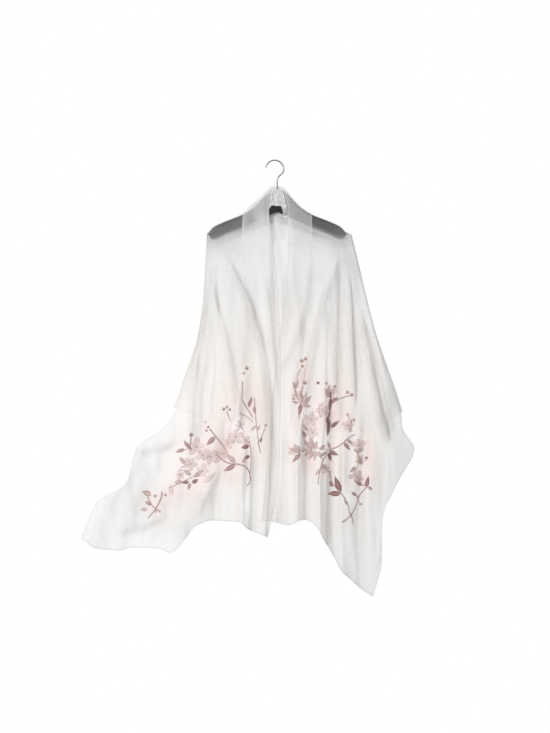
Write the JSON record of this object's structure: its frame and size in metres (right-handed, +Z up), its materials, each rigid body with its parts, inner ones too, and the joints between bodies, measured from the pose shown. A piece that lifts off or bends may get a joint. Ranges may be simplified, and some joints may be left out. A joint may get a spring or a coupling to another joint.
{
  "type": "pashmina shawl on a clothes hanger",
  "caption": "Sheer shawl draped like a cape over a contoured clothes hanger, open at the front with its upper edge turned back, uneven pointed ends and a wire hook to hang from.",
  "frame": {"origin": "inner top of the hanger's hook, where it rests on a rail", "axes": "+X to the viewer's right along the hanger, +Y away from the viewer towards the shawl's back, +Z up"},
  "size_m": [0.9752, 0.1166, 1.2861],
  "materials": {
    "hanger_black": "satin black",
    "wire_steel": "plated steel wire",
    "sheer_cloth": "sheer plain weave, off-white"
  },
  "bodies": {
    "root": {"hanger_body": "hanger_black", "hanger_hook": "wire_steel", "shawl_back": "sheer_cloth", "shawl_collar_back": "sheer_cloth", "shawl_front_left": "sheer_cloth", "shawl_front_right": "sheer_cloth", "shawl_lapel_left": "sheer_cloth", "shawl_lapel_right": "sheer_cloth", "shawl_neck_fold": "sheer_cloth"}
  },
  "joints": []
}
